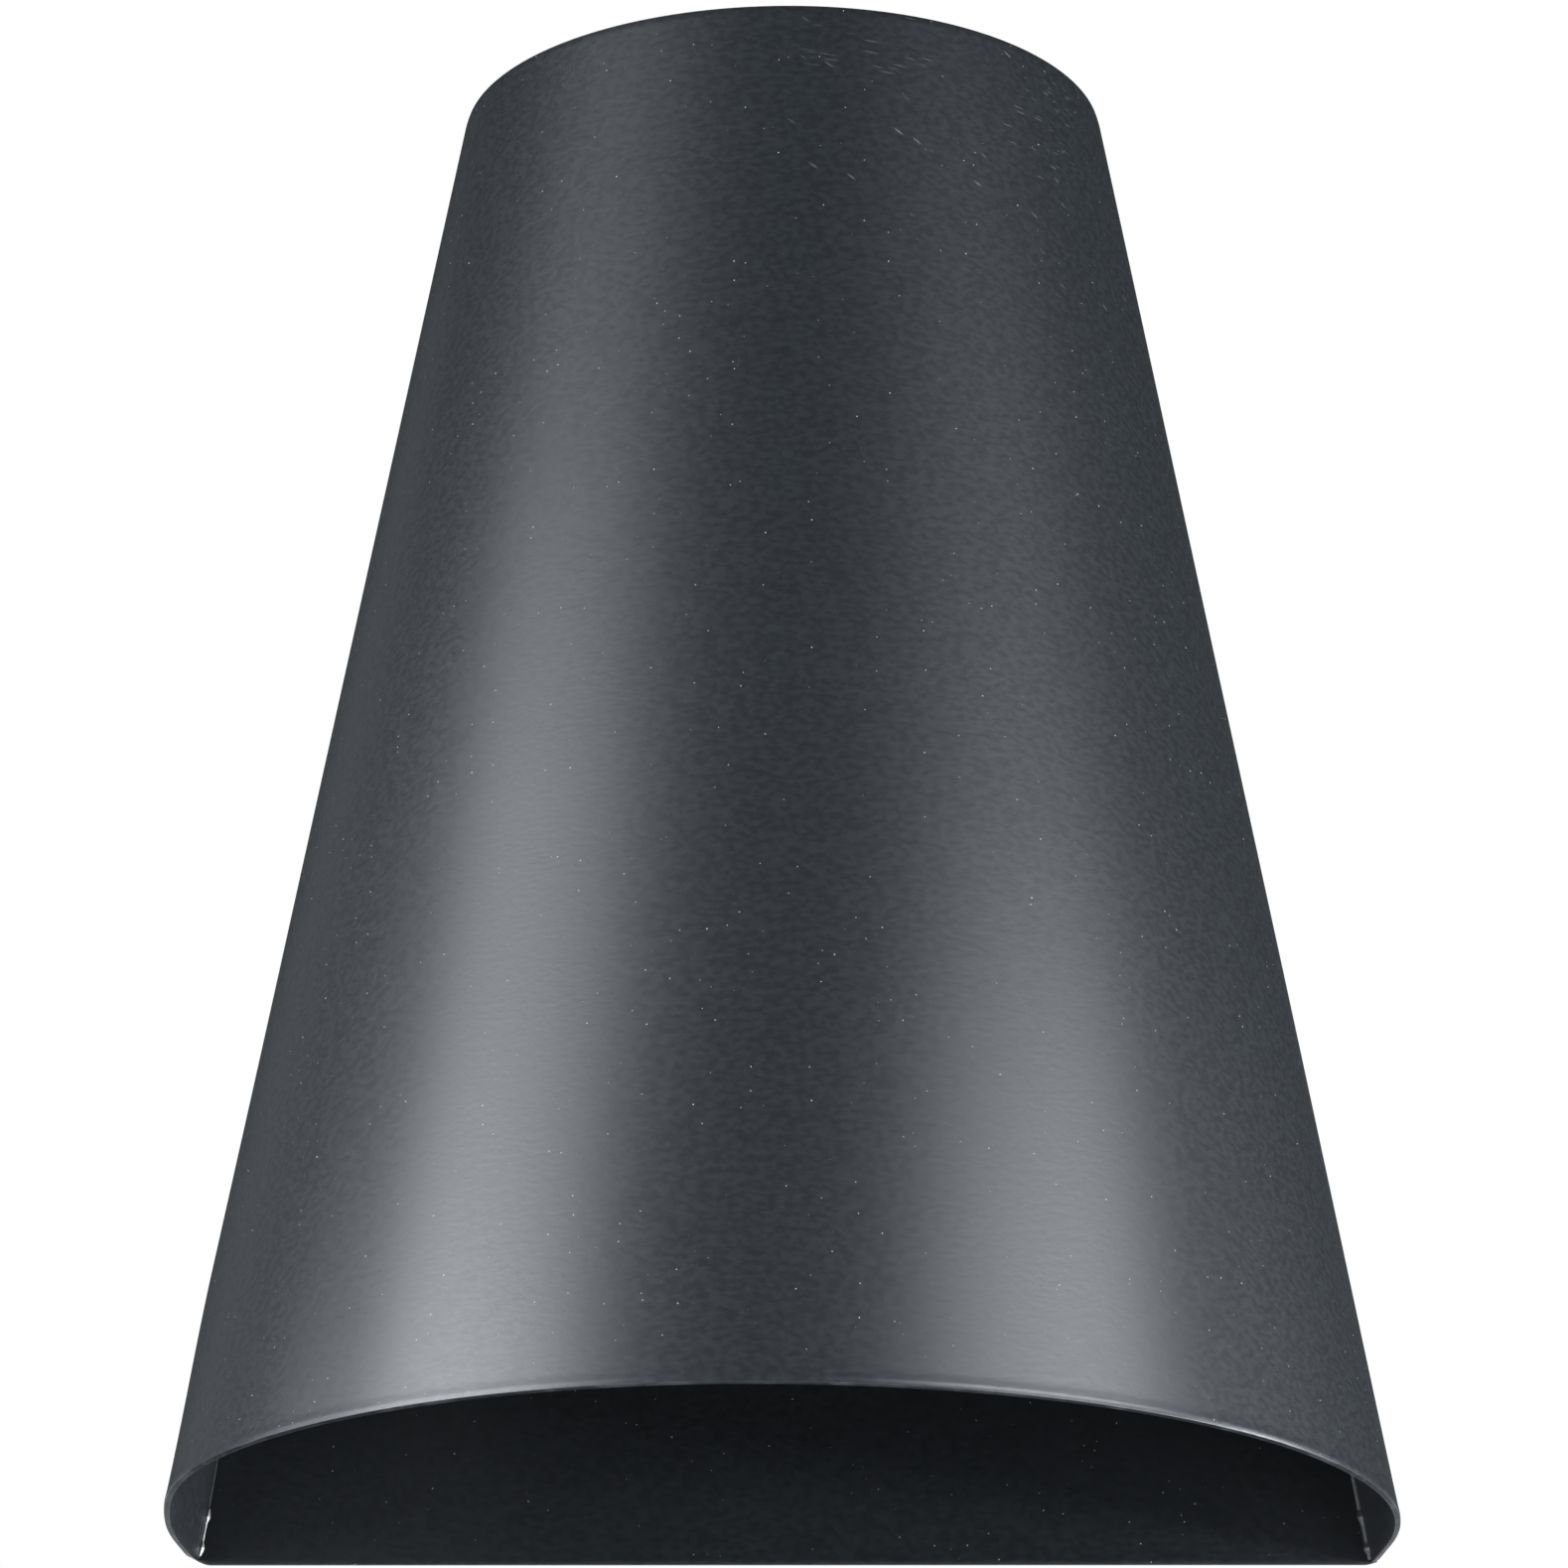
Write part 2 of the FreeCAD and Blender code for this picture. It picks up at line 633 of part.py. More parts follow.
def check(pieces):
    """Every object has recomputed, and every sub-part is a valid solid or group of solids."""
    doc.recompute()
    for item in doc.Objects:
        if "Invalid" in item.State or "Error" in item.State:
            raise RuntimeError(f"{item.Label} failed: {item.State}")
        if item.TypeId == "Sketcher::SketchObject" and not item.FullyConstrained:
            raise RuntimeError(f"{item.Label} is not fully constrained")
    for piece in pieces:
        if piece.Shape.isNull() or not piece.Shape.isValid() or not piece.Shape.Solids:
            raise RuntimeError(f"{piece.Label} has no valid shape")


def write(pieces):
    os.makedirs("parts", exist_ok=True)
    for piece in pieces:
        piece.Shape.exportStep(f"parts/{piece.Label}.step")
        print(f"{piece.Label:20s} solids {len(piece.Shape.Solids):2d}  "
              f"volume {piece.Shape.Volume / 1000:9.3f} cm3")


pieces = [
    make_front_shell(),
    make_back_panel(),
    make_seam_welds("left_seam_welds", -1),
    make_seam_welds("right_seam_welds", 1),
    make_hanger_plate(),
    make_hanger_rivets(),
    make_lock_bush(),
    make_lock_washer(),
    make_lock_stud(),
    make_lock_knob(),
]
check(pieces)
write(pieces)
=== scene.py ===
import math
import random

import bmesh
import bpy
from mathutils import Matrix, Vector, noise


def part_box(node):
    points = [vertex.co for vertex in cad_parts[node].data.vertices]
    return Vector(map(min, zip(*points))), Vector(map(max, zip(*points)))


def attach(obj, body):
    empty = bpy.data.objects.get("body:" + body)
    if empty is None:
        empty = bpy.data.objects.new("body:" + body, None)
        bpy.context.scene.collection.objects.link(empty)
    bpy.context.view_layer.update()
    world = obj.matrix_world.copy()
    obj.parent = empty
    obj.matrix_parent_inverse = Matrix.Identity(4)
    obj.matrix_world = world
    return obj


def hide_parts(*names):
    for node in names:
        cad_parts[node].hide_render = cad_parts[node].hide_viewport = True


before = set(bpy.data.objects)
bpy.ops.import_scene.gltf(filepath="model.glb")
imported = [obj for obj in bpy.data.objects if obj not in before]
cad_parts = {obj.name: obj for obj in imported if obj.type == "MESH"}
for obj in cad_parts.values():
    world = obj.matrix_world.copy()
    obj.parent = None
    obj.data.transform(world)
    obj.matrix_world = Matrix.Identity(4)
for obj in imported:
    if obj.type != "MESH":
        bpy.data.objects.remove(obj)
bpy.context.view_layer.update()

# Half-round light hood (snoot) of folded, powder-coated sheet steel.
#
# Frame: metres, +X to the hood's right as seen from the front, +Z up and the rounded
# front towards -Y. Y = 0 is the back face of the flat back panel.

MM = 0.001
scene = bpy.context.scene

# ---- sizes read from the frame ---------------------------------------------------------------

shell_low, shell_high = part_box("front_shell")
panel_low, panel_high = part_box("back_panel")
MOUTH_Z = shell_low.z
TOP_Z = shell_high.z
GAUGE = panel_high.y - panel_low.y
MOUTH_RADIUS = shell_high.x
CENTRE_RATIO = -shell_low.y / MOUTH_RADIUS - 1
TOP_RADIUS = max(v.co.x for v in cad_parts["front_shell"].data.vertices
                 if v.co.z > TOP_Z - 0.1 * MM)
LOCK_Z = (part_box("lock_knob")[0].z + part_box("lock_knob")[1].z) / 2

# How far the shell's arc runs on past its widest point before the short flats begin
ARC_OVERRUN = math.radians(6)
ARC_SPAN = math.pi / 2 + ARC_OVERRUN
# Share of the way round the section, from the front, that is arc
ARC_SHARE = 0.94

# Rounding of the sheet's cut edges under the coat
OUTER_EDGE = 0.16 * MM
INNER_EDGE = 0.2 * MM
EDGE_STEPS = 5
# A row this far below the rounding of the top edge ends the roll there
GUARD = 0.4 * MM
# Shearing drew the outer face in just above the mouth's edge, over this height
DRAW_HEIGHT = 1.45 * MM
DRAW_IN = 0.22 * MM
DRAW_ROWS = 8
# Above that the coat lies thicker in a bead
BEAD = 0.07 * MM
BEAD_HEIGHT = 2.6 * MM
BEAD_ROWS = 5

STATIONS = 280
ROWS = 64
WAVE = 0.05 * MM
WAVE_LENGTH = 70 * MM

# The top edge rolls in a little, over this depth
ROLL_DEPTH = 2.4 * MM
ROLL_IN = 0.22 * MM
ROLL_ROWS = 4

# The mouth has settled out of its true half-round: its left side leans forward
SKEW = 0.0344
SKEW_CENTRE = 0.09 * MM
SKEW_HEIGHT = 150 * MM
SKEW_FRONT = 100 * MM
# while the top is skewed a little the other way
SKEW_TOP = -0.02
# The left rear of the mouth has been pushed in
PUSH = 1.35 * MM
PUSH_HEIGHT = 60 * MM
PUSH_DEPTH = 95 * MM
PUSH_FADE = 50 * MM
# The rear corners were ground round after welding, the left one more: how much was lifted off,
# and over what depth and width
CORNERS = {-1: (1.9 * MM, 11 * MM, 4.4 * MM), 1: (0.8 * MM, 6 * MM, 3.0 * MM)}
CORNER_RISE = 14 * MM
CORNER_CURVE = 1.6

PLATE_EDGE = 0.3 * MM
SMOOTH_ANGLE = math.radians(35)


# ---- mesh helpers ----------------------------------------------------------------------------

def finished(bm, name, materials):
    """A mesh from bm with outward normals, smooth faces and sharp edges kept."""
    bmesh.ops.recalc_face_normals(bm, faces=bm.faces)
    mesh = bpy.data.meshes.new(name)
    bm.to_mesh(mesh)
    bm.free()
    mesh.shade_smooth()
    mesh.set_sharp_from_angle(angle=SMOOTH_ANGLE)
    for material in materials:
        mesh.materials.append(material)
    return mesh


def add_piece(name, mesh, body, slot, *replaced):
    """Put a piece in the scene, riding on its body and standing for its CAD nodes."""
    piece = bpy.data.objects.new(name, mesh)
    scene.collection.objects.link(piece)
    weighted = piece.modifiers.new("weighted_normals", "WEIGHTED_NORMAL")
    weighted.keep_sharp = True
    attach(piece, body)
    if replaced:
        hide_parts(*replaced)
    return piece


def rounded(corners, radii, steps=4):
    """The corners of an open or closed outline, each replaced by a small arc of its radius."""
    points = []
    count = len(corners)
    for place, (corner, radius) in enumerate(zip(corners, radii)):
        if radius == 0:
            points.append(corner)
            continue
        here = Vector(corner)
        before = (Vector(corners[place - 1]) - here).normalized()
        after = (Vector(corners[(place + 1) % count]) - here).normalized()
        start = here + before * radius
        end = here + after * radius
        for step in range(steps + 1):
            t = step / steps
            point = start * (1 - t) ** 2 + here * (2 * t * (1 - t)) + end * t ** 2
            points.append(tuple(point))
    return points


def turned(name, outline, around, materials, shape=None, x=0.0, z=LOCK_Z, closed=True):
    """A mesh turned about an axis along Y. The outline holds (radius, y) points."""
    bm = bmesh.new()
    rings = []
    for step in range(around):
        angle = 2 * math.pi * step / around
        ring = []
        for radius, y in outline:
            reach = shape(radius, y, angle) if shape else radius
            ring.append(bm.verts.new((x + reach * math.sin(angle), y, z + reach * math.cos(angle))))
        rings.append(ring)
    spans = len(outline) if closed else len(outline) - 1
    for step in range(around):
        here, there = rings[step], rings[(step + 1) % around]
        for k in range(spans):
            following = (k + 1) % len(outline)
            bm.faces.new((here[k], here[following], there[following], there[k]))
    bmesh.ops.remove_doubles(bm, verts=bm.verts, dist=0.0005 * MM)
    return finished(bm, name, materials)


def refined(node, name, materials, edge=PLATE_EDGE, after=None):
    """A CAD node's shape as a clean mesh with softly rounded edges."""
    bm = bmesh.new()
    bm.from_mesh(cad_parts[node].data)
    bmesh.ops.remove_doubles(bm, verts=bm.verts, dist=0.001 * MM)
    bmesh.ops.dissolve_limit(bm, angle_limit=math.radians(1), verts=bm.verts, edges=bm.edges)
    sharp = [e for e in bm.edges if e.is_manifold and e.calc_face_angle() > SMOOTH_ANGLE]
    bmesh.ops.bevel(bm, geom=sharp, offset=edge, offset_type="OFFSET", segments=3,
                    profile=0.5, affect="EDGES", clamp_overlap=True)
    if after:
        after(bm)
    return finished(bm, name, materials)


# ---- node helpers ----------------------------------------------------------------------------

def new_material(name):
    """An empty node material and its Principled shader."""
    material = bpy.data.materials.new(name)
    material.use_nodes = True
    return material, material.node_tree.nodes["Principled BSDF"]


def add_node(material, kind, inputs, **settings):
    """A node whose inputs are links or values; returns the node."""
    made = material.node_tree.nodes.new(kind)
    for name, value in settings.items():
        setattr(made, name, value)
    for name, value in inputs.items():
        plug(material, made.inputs[name], value)
    return made


def plug(material, socket, value):
    if isinstance(value, bpy.types.NodeSocket):
        material.node_tree.links.new(value, socket)
    else:
        socket.default_value = value


def object_place(material):
    return add_node(material, "ShaderNodeTexCoord", {}).outputs["Object"]


def noise_of(material, place, length, detail=2.0, roughness=0.5):
    """Noise between 0 and 1 whose features are about this long."""
    return add_node(material, "ShaderNodeTexNoise",
                    {"Vector": place, "Scale": 1 / length, "Detail": detail,
                     "Roughness": roughness}).outputs["Fac"]


def stretched(material, place, lengths):
    """Coordinates in which a feature of each length is one unit long."""
    return add_node(material, "ShaderNodeVectorMath",
                    {0: place, 1: [1 / length for length in lengths]},
                    operation="MULTIPLY").outputs[0]


def ramp(material, value, low, high, to_low=0.0, to_high=1.0):
    """The value, spread smoothly from low..high to the two results."""
    return add_node(material, "ShaderNodeMapRange",
                    {"Value": value, "From Min": low, "From Max": high,
                     "To Min": to_low, "To Max": to_high},
                    interpolation_type="SMOOTHSTEP").outputs["Result"]


def math_of(material, operation, first, second=0.0):
    return add_node(material, "ShaderNodeMath", {0: first, 1: second},
                    operation=operation).outputs[0]


def mix_of(material, factor, first, second):
    return add_node(material, "ShaderNodeMix", {0: factor, 6: first, 7: second},
                    data_type="RGBA").outputs[2]


def bump_of(material, height, distance, normal=None, strength=1.0):
    inputs = {"Height": height, "Distance": distance, "Strength": strength}
    if normal:
        inputs["Normal"] = normal
    return add_node(material, "ShaderNodeBump", inputs).outputs["Normal"]


# ---- materials -------------------------------------------------------------------------------

COAT = (0.0083, 0.0100, 0.0118, 1)
COAT_WORN = (0.030, 0.033, 0.036, 1)
SPECK = (0.34, 0.35, 0.36, 1)
SCRATCH = (0.055, 0.059, 0.062, 1)
COAT_ROUGHNESS = 0.375
MOTTLE = 0.20
PEEL_LENGTHS = (2.2 * MM, 2.2 * MM, 1.4 * MM)
PEEL_HEIGHT = 0.023 * MM
GRAIN_LENGTH = 0.55 * MM
GRAIN_HEIGHT = 0.0045 * MM
OIL_CAN_LENGTH = 110 * MM
OIL_CAN_HEIGHT = 0.10 * MM
SPECK_CELL = 2.7 * MM
SPECK_RADIUS = 0.16 * MM

# Handling scratches: tilt, length, spacing of the marks across their length, patch size
LEVEL_MARKS = (6, 17 * MM, 0.8 * MM, 30 * MM)
SLANTED_MARKS = (38, 12 * MM, 2.4 * MM, 17 * MM)


def scratch_marks(material, place, tilt, length, spacing, patch):
    """Thin short marks that slope down to the right, gathered in patches."""
    tilted = add_node(material, "ShaderNodeVectorRotate",
                      {"Vector": place, "Angle": math.radians(-tilt)},
                      rotation_type="Y_AXIS").outputs[0]
    cells = stretched(material, tilted, (length, 9 * MM, spacing))
    marks = add_node(material, "ShaderNodeTexVoronoi",
                     {"Vector": cells, "Scale": 1.0, "Randomness": 1.0}).outputs["Distance"]
    marks = ramp(material, marks, 0.17, 0.08)
    patches = ramp(material, noise_of(material, place, patch), 0.53, 0.62)
    return math_of(material, "MULTIPLY", patches, marks)


def scratch_mask(material, place):
    """Handling marks on the upper right of the front."""
    axes = add_node(material, "ShaderNodeSeparateXYZ", {0: place}).outputs
    side = ramp(material, axes["X"], -10 * MM, 25 * MM)
    level = ramp(material, axes["Z"], 0.0, 70 * MM)
    front = ramp(material, axes["Y"], -40 * MM, -70 * MM)
    where = math_of(material, "MULTIPLY", math_of(material, "MULTIPLY", side, level), front)
    marks = math_of(material, "MAXIMUM", scratch_marks(material, place, *LEVEL_MARKS),
                    scratch_marks(material, place, *SLANTED_MARKS))
    return math_of(material, "MULTIPLY", where, marks)


def speck_mask(material, place):
    """Dust nibs in the coat, each with a size of its own."""
    cells = add_node(material, "ShaderNodeTexVoronoi",
                     {"Vector": place, "Scale": 1 / SPECK_CELL, "Randomness": 1.0}).outputs
    draw = add_node(material, "ShaderNodeSeparateXYZ", {0: cells["Color"]}).outputs["X"]
    reach = ramp(material, draw, 0.0, 1.0, 0.35 * SPECK_RADIUS / SPECK_CELL,
                 1.3 * SPECK_RADIUS / SPECK_CELL)
    share = math_of(material, "DIVIDE", cells["Distance"], reach)
    return ramp(material, share, 1.0, 0.4)


def make_powder_coat():
    """Satin near-black powder coat: orange peel, fine grain, pale specks, scuffs, worn edges."""
    material, shader = new_material("powder_coat")
    place = object_place(material)
    peel = noise_of(material, stretched(material, place, PEEL_LENGTHS), 1.0, 2.0)
    grain = noise_of(material, place, GRAIN_LENGTH, 1.0)
    cloud = noise_of(material, place, 45 * MM, 3.0)
    mottle = ramp(material, peel, 0.3, 0.7)
    mottle = math_of(material, "ADD", math_of(material, "MULTIPLY", mottle, 0.8),
                     math_of(material, "MULTIPLY", cloud, 0.2))
    base = mix_of(material, mottle, tuple((1 - MOTTLE) * c for c in COAT[:3]) + (1,),
                  tuple((1 + MOTTLE) * c for c in COAT[:3]) + (1,))
    specks = speck_mask(material, place)
    scratches = scratch_mask(material, place)
    edge = add_node(material, "ShaderNodeAttribute", {}, attribute_name="edge").outputs["Fac"]
    rubbed = ramp(material, noise_of(material, place, 9 * MM, 4.0), 0.48, 0.66)
    worn = math_of(material, "MULTIPLY", edge, rubbed)
    base = mix_of(material, worn, base, COAT_WORN)
    base = mix_of(material, scratches, base, SCRATCH)
    base = mix_of(material, specks, base, SPECK)
    plug(material, shader.inputs["Base Color"], base)
    oil_can = noise_of(material, place, OIL_CAN_LENGTH, 0.0)
    normal = bump_of(material, oil_can, OIL_CAN_HEIGHT)
    normal = bump_of(material, peel, PEEL_HEIGHT, normal)
    normal = bump_of(material, grain, GRAIN_HEIGHT, normal)
    normal = bump_of(material, specks, 0.03 * MM, normal)
    plug(material, shader.inputs["Normal"], normal)
    gloss = ramp(material, peel, 0.3, 0.7, COAT_ROUGHNESS - 0.02, COAT_ROUGHNESS + 0.02)
    scuffed = math_of(material, "MULTIPLY", scratches, 0.15)
    plug(material, shader.inputs["Roughness"], math_of(material, "ADD", gloss, scuffed))
    shader.inputs["Specular IOR Level"].default_value = 0.5
    return material


def make_zinc():
    """Bright zinc plate over turned steel, with faint turning rings and dull patches."""
    material, shader = new_material("zinc_plate")
    place = object_place(material)
    patches = noise_of(material, place, 4 * MM, 4.0)
    base = mix_of(material, patches, (0.50, 0.52, 0.54, 1), (0.68, 0.69, 0.69, 1))
    plug(material, shader.inputs["Base Color"], base)
    shader.inputs["Metallic"].default_value = 1.0
    plug(material, shader.inputs["Roughness"], ramp(material, patches, 0.3, 0.7, 0.24, 0.40))
    offset = add_node(material, "ShaderNodeVectorMath", {0: place, 1: (0, 0, -LOCK_Z)},
                      operation="ADD").outputs[0]
    flat = stretched(material, offset, (1, 1e6, 1))
    rings = add_node(material, "ShaderNodeVectorMath", {0: flat}, operation="LENGTH").outputs[1]
    rings = math_of(material, "SINE", math_of(material, "MULTIPLY", rings, 2 * math.pi / (0.25 * MM)))
    normal = bump_of(material, rings, 0.002 * MM)
    normal = bump_of(material, noise_of(material, place, 0.3 * MM), 0.004 * MM, normal)
    plug(material, shader.inputs["Normal"], normal)
    return material


def make_bare_steel():
    """Steel showing where the coat has chipped from a weld."""
    material, shader = new_material("bare_steel")
    place = object_place(material)
    grain = noise_of(material, place, 0.5 * MM, 3.0)
    base = mix_of(material, grain, (0.30, 0.30, 0.30, 1), (0.48, 0.48, 0.48, 1))
    plug(material, shader.inputs["Base Color"], base)
    shader.inputs["Metallic"].default_value = 0.6
    plug(material, shader.inputs["Roughness"], ramp(material, grain, 0.3, 0.7, 0.35, 0.55))
    plug(material, shader.inputs["Normal"], bump_of(material, grain, 0.02 * MM))
    return material


def make_plastic():
    """Black moulding with a spark-eroded texture, paler where fingers have polished it."""
    material, shader = new_material("knob_plastic")
    place = object_place(material)
    spark = noise_of(material, place, 0.45 * MM, 2.0, 0.6)
    wear = ramp(material, noise_of(material, place, 5 * MM, 3.0), 0.45, 0.7)
    base = mix_of(material, wear, (0.012, 0.012, 0.013, 1), (0.022, 0.022, 0.023, 1))
    plug(material, shader.inputs["Base Color"], base)
    plug(material, shader.inputs["Roughness"], ramp(material, wear, 0.0, 1.0, 0.56, 0.40))
    plug(material, shader.inputs["Normal"], bump_of(material, spark, 0.03 * MM))
    return material


powder_coat = make_powder_coat()
zinc = make_zinc()
bare_steel = make_bare_steel()
plastic = make_plastic()


# ---- front shell -----------------------------------------------------------------------------

def section_radius(z):
    share = (z - MOUTH_Z) / (TOP_Z - MOUTH_Z)
    return MOUTH_RADIUS + share * (TOP_RADIUS - MOUTH_RADIUS)


def wall_point(station, inset, z):
    """A point of the wall: station -1 is its left rear end, 0 the front, 1 the right rear end."""
    radius = section_radius(z)
    reach = radius - inset
    turn = min(abs(station) / ARC_SHARE, 1) * ARC_SPAN
    x = reach * math.sin(turn)
    y = -CENTRE_RATIO * radius - reach * math.cos(turn)
    beyond = max(abs(station) - ARC_SHARE, 0) / (1 - ARC_SHARE)
    flat = beyond * (-GAUGE - y)
    return Vector((math.copysign(x - flat * math.tan(ARC_OVERRUN), station), y + flat, z))


def smooth(share):
    """A smooth step from 0 to 1 as share goes from 0 to 1."""
    share = min(1.0, max(0.0, share))
    return share * share * (3 - 2 * share)


def dressed(point):
    """Where a point of the true hood lies on this one, whose mouth has settled."""
    x, y, z = point
    rise = z - MOUTH_Z
    front = min(1.0, max(0.0, (-GAUGE - y) / SKEW_FRONT))
    settled = Vector((x, y, z))
    settled.y += (SKEW * x + SKEW_CENTRE) * smooth(1 - rise / SKEW_HEIGHT) * front
    settled.y += SKEW_TOP * x * smooth(1 - (TOP_Z - z) / SKEW_HEIGHT) * front
    if x < 0:
        rear = smooth((y + PUSH_DEPTH) / PUSH_FADE) * smooth(-x / PUSH_FADE)
        settled.x += PUSH * smooth(1 - rise / PUSH_HEIGHT) * rear
    lift, depth, width = CORNERS[-1 if x < 0 else 1]
    inset = wall_point(1, 0, z).x - abs(x)
    deep = max(0.0, 1 + y / depth)
    across = min(1.0, max(0.0, 1 - inset / width))
    near = max(0.0, 1 - rise / CORNER_RISE)
    settled.z += lift * (deep * across) ** CORNER_CURVE * near
    return settled


def half_profile(outside):
    """(inset, z, edge) points up one side of the sheet, from mid mouth edge to mid top edge."""
    radius = OUTER_EDGE if outside else INNER_EDGE
    corner = []
    for step in range(EDGE_STEPS):
        angle = math.pi / 2 * step / EDGE_STEPS
        corner.append((radius * (1 - math.sin(angle)), radius * (1 - math.cos(angle)), 1.0))
    heights = [radius + (DRAW_HEIGHT - radius) * row / DRAW_ROWS for row in range(DRAW_ROWS + 1)]
    heights += [DRAW_HEIGHT + BEAD_HEIGHT * row / BEAD_ROWS for row in range(1, BEAD_ROWS + 1)]
    wall_from = heights[-1]
    tall = TOP_Z - MOUTH_Z - wall_from
    heights += [wall_from + tall * row / ROWS for row in range(1, ROWS)]
    roll_from = TOP_Z - MOUTH_Z - ROLL_DEPTH
    heights = [height for height in heights if height < roll_from]
    rolled = ROLL_DEPTH - radius - GUARD
    heights += [roll_from + rolled * row / ROLL_ROWS for row in range(ROLL_ROWS + 1)]
    heights += [TOP_Z - MOUTH_Z - radius]
    points = [(inset, MOUTH_Z + rise, edge) for inset, rise, edge in corner]
    points += [(0.0, MOUTH_Z + height, 0.0) for height in heights]
    points += [(inset, TOP_Z - rise, edge) for inset, rise, edge in reversed(corner)]
    if outside:
        return points
    return [(GAUGE - inset, z, edge) for inset, z, edge in points]


def sheet_wave(station, z):
    """How far rolling left the sheet inside its true surface."""
    point = Vector((station * 3.2 * MOUTH_RADIUS, 0, z * 0.6)) / WAVE_LENGTH
    fade = min(1.0, (1 - abs(station)) * 12)
    roll = max(0.0, 1 - (TOP_Z - z) / ROLL_DEPTH)
    return WAVE * fade * (0.5 + 0.5 * noise.noise(point)) + ROLL_IN * roll ** 2


def mouth_edge(z):
    """How far in the outer face lies near the mouth: a bead of coat, then the drawn edge."""
    rise = z - MOUTH_Z
    drawn = max(0.0, 1 - rise / DRAW_HEIGHT)
    return DRAW_IN * drawn ** 2 - BEAD * smooth(1 - (rise - DRAW_HEIGHT * 0.6) / BEAD_HEIGHT)


def squared(station, inset, z):
    """Height of a profile point once the sheet's cut edges are square to its sloping wall."""
    turn = min(abs(station) / ARC_SHARE, 1) * ARC_SPAN
    taper = (MOUTH_RADIUS - TOP_RADIUS) / (TOP_Z - MOUTH_Z)
    slope = taper * (1 + CENTRE_RATIO * math.cos(turn))
    share = (z - MOUTH_Z) / (TOP_Z - MOUTH_Z)
    return z + slope * (GAUGE * (1 - share) - inset)


def make_front_shell():
    outer = half_profile(True)
    inner = half_profile(False)
    loop = outer + inner[::-1]
    bm = bmesh.new()
    edge_layer = bm.verts.layers.float.new("edge")
    rings = []
    for number in range(STATIONS + 1):
        station = 2 * number / STATIONS - 1
        ring = []
        for inset, z, edge in loop:
            level = squared(station, inset, z)
            depth = inset + sheet_wave(station, z) + mouth_edge(z) * max(0, 1 - 1.2 * inset / GAUGE)
            vertex = bm.verts.new(dressed(wall_point(station, depth, level)))
            vertex[edge_layer] = edge
            ring.append(vertex)
        rings.append(ring)
    count = len(loop)
    for here, there in zip(rings, rings[1:]):
        for k in range(count):
            following = (k + 1) % count
            bm.faces.new((here[k], here[following], there[following], there[k]))
    for ring in (rings[0], rings[-1]):
        for k in range(len(outer) - 1):
            bm.faces.new((ring[k], ring[k + 1], ring[count - 2 - k], ring[count - 1 - k]))
    return finished(bm, "front_shell_sheet", [powder_coat])


add_piece("shell_sheet", make_front_shell(), "hood", "powder_coat", "front_shell")


# ---- back panel ------------------------------------------------------------------------------

# Cuts across the panel's lowest part, so that it can follow the mouth: heights above the mouth
# and distances from either end
PANEL_HEIGHTS = (0.5, 0.75, 1, 1.5, 2, 3, 4.5, 6, 8, 10, 14, 20, 28, 36, 44, 52, 60)
PANEL_INSETS = (0.5, 1, 1.5, 2, 2.5, 3, 3.6, 4.4)
# Shearing drew the front face of the lower edge back
ROLLOVER_HEIGHT = 0.95 * MM
ROLLOVER_DEPTH = 0.26 * MM


def settle_panel(bm):
    """Cut the panel's lower part finely and settle it with the shell's mouth."""
    cuts = [(Vector((0, 0, MOUTH_Z + height * MM)), Vector((0, 0, 1))) for height in PANEL_HEIGHTS]
    for end, inward in ((panel_low.x, 1), (panel_high.x, -1)):
        cuts += [(Vector((end + inward * inset * MM, 0, 0)), Vector((1, 0, 0)))
                 for inset in PANEL_INSETS]
    for place, normal in cuts:
        geometry = bm.verts[:] + bm.edges[:] + bm.faces[:]
        bmesh.ops.bisect_plane(bm, geom=geometry, plane_co=place, plane_no=normal)
    for vertex in bm.verts:
        sheared = max(0.0, 1 - (vertex.co.z - MOUTH_Z) / ROLLOVER_HEIGHT)
        vertex.co.y += ROLLOVER_DEPTH * sheared ** 2 * -vertex.co.y / GAUGE
        vertex.co = dressed(vertex.co)


add_piece("panel_sheet", refined("back_panel", "panel_sheet", [powder_coat], after=settle_panel),
          "hood", "powder_coat", "back_panel")


# ---- keyhole doubler and rivets --------------------------------------------------------------

add_piece("hanger_sheet", refined("hanger_plate", "hanger_sheet", [powder_coat]),
          "hood", "powder_coat", "hanger_plate")

RIVET_INSET = 9 * MM
RIVET_HEAD = 3.8 * MM
RIVET_DOME = 1.4 * MM
RIVET_SHANK = 2.0 * MM
RIVET_SINK = 1.2 * MM
RIVET_FLUSH = 3.2 * MM


